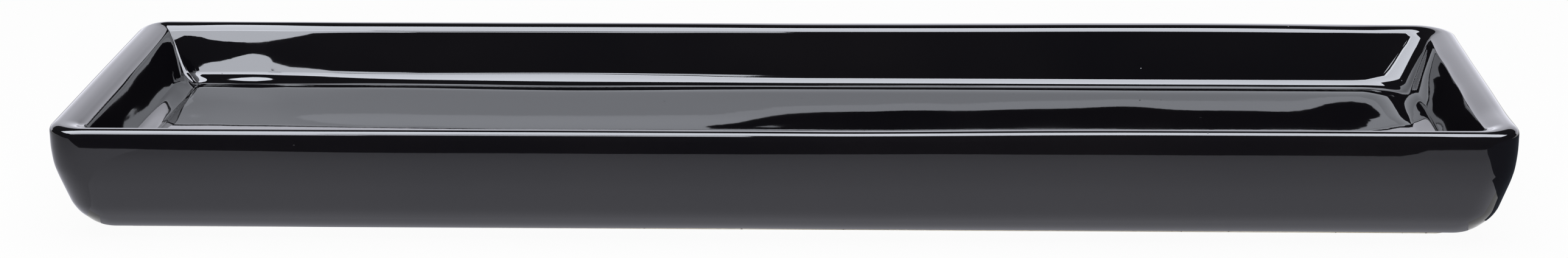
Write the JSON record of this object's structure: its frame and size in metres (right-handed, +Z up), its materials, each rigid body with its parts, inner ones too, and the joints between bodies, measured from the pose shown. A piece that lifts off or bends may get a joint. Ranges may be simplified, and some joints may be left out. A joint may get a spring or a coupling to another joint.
{
  "type": "ikebana suiban",
  "caption": "Long shallow rectangular flower dish in black gloss glaze, with leaning walls, rounded rim, coved flat floor and bare clay foot, for arranging flowers in shallow water.",
  "frame": {"origin": "middle of the dish in plan, on the plane that its foot stands on", "axes": "+X along the dish, -Y its front, +Z up"},
  "size_m": [0.455, 0.136, 0.037],
  "materials": {
    "clay": "bare fired stoneware, pale and matte, with fine grog specks",
    "black_glaze": "thick black gloss glaze, slightly wavy, fired over the clay"
  },
  "bodies": {
    "root": {"base_slab": "clay", "front_wall": "clay", "back_wall": "clay", "left_end_wall": "clay", "right_end_wall": "clay", "front_foot": "clay", "back_foot": "clay", "left_foot": "clay", "right_foot": "clay", "glaze_coat": "black_glaze"}
  },
  "joints": []
}
